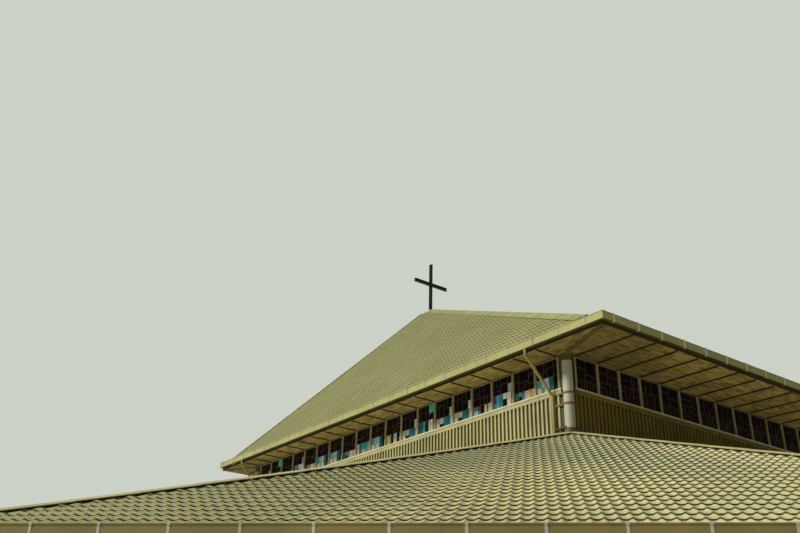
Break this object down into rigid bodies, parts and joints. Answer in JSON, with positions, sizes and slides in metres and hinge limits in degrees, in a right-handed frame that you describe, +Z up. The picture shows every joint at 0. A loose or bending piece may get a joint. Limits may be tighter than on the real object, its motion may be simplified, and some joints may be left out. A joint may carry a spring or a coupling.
{
  "type": "modern church building, half-size (1:2) model",
  "caption": "Modern church building at 1:2: octagonal tiled skirt roof around a square hall with a clerestory, gabled tiled roof and cross; hollow, doors shut",
  "frame": {"origin": "On the ground at the centre of the hall and of the octagon of eaves, at the lowest point of the walls and floor slab.", "axes": "+Z is up. The gabled front and the entrance face -Y, so +Y is the back, where the hall's roof is hipped, and +X is the right side seen from the front."},
  "size_m": [25.2672, 25.2672, 11.7228],
  "materials": {
    "roof_tile": "matte",
    "flashing": "satin",
    "gutter": "satin",
    "soffit": "matte",
    "floor": "matte",
    "render_wall": "matte",
    "window_glass": "polished",
    "door_wood": "satin",
    "cladding": "satin",
    "window_frame": "satin",
    "column": "satin",
    "cross_steel": "satin"
  },
  "bodies": {
    "root": {"cross": "cross_steel", "downpipe_back_left": "gutter", "downpipe_back_right": "gutter", "downpipe_front_left": "gutter", "downpipe_front_right": "gutter", "floor_slab": "floor", "front_door_left": "door_wood", "front_door_right": "door_wood", "hall_column_back_left": "column", "hall_column_back_right": "column", "hall_column_front_left": "column", "hall_column_front_right": "column", "hall_gable_and_head_beams": "cladding", "hall_glass_back": "window_glass", "hall_glass_front": "window_glass", "hall_glass_left": "window_glass", "hall_glass_right": "window_glass", "hall_gutter": "gutter", "hall_roof_back": "roof_tile", "hall_roof_caps": "flashing", "hall_roof_left": "roof_tile", "hall_roof_right": "roof_tile", "hall_soffit": "soffit", "hall_walls": "cladding", "hall_window_frame_back": "window_frame", "hall_window_frame_front": "window_frame", "hall_window_frame_left": "window_frame", "hall_window_frame_right": "window_frame", "skirt_flashings": "flashing", "skirt_glass_back": "window_glass", "skirt_glass_back_left": "window_glass", "skirt_glass_back_right": "window_glass", "skirt_glass_front_left": "window_glass", "skirt_glass_front_right": "window_glass", "skirt_glass_left": "window_glass", "skirt_glass_right": "window_glass", "skirt_gutter": "gutter", "skirt_roof_back": "roof_tile", "skirt_roof_back_left": "roof_tile", "skirt_roof_back_right": "roof_tile", "skirt_roof_front": "roof_tile", "skirt_roof_front_left": "roof_tile", "skirt_roof_front_right": "roof_tile", "skirt_roof_left": "roof_tile", "skirt_roof_right": "roof_tile", "skirt_soffit": "soffit", "skirt_wall_back": "render_wall", "skirt_wall_back_left": "render_wall", "skirt_wall_back_right": "render_wall", "skirt_wall_front": "render_wall", "skirt_wall_front_left": "render_wall", "skirt_wall_front_right": "render_wall", "skirt_wall_left": "render_wall", "skirt_wall_right": "render_wall"}
  },
  "joints": []
}
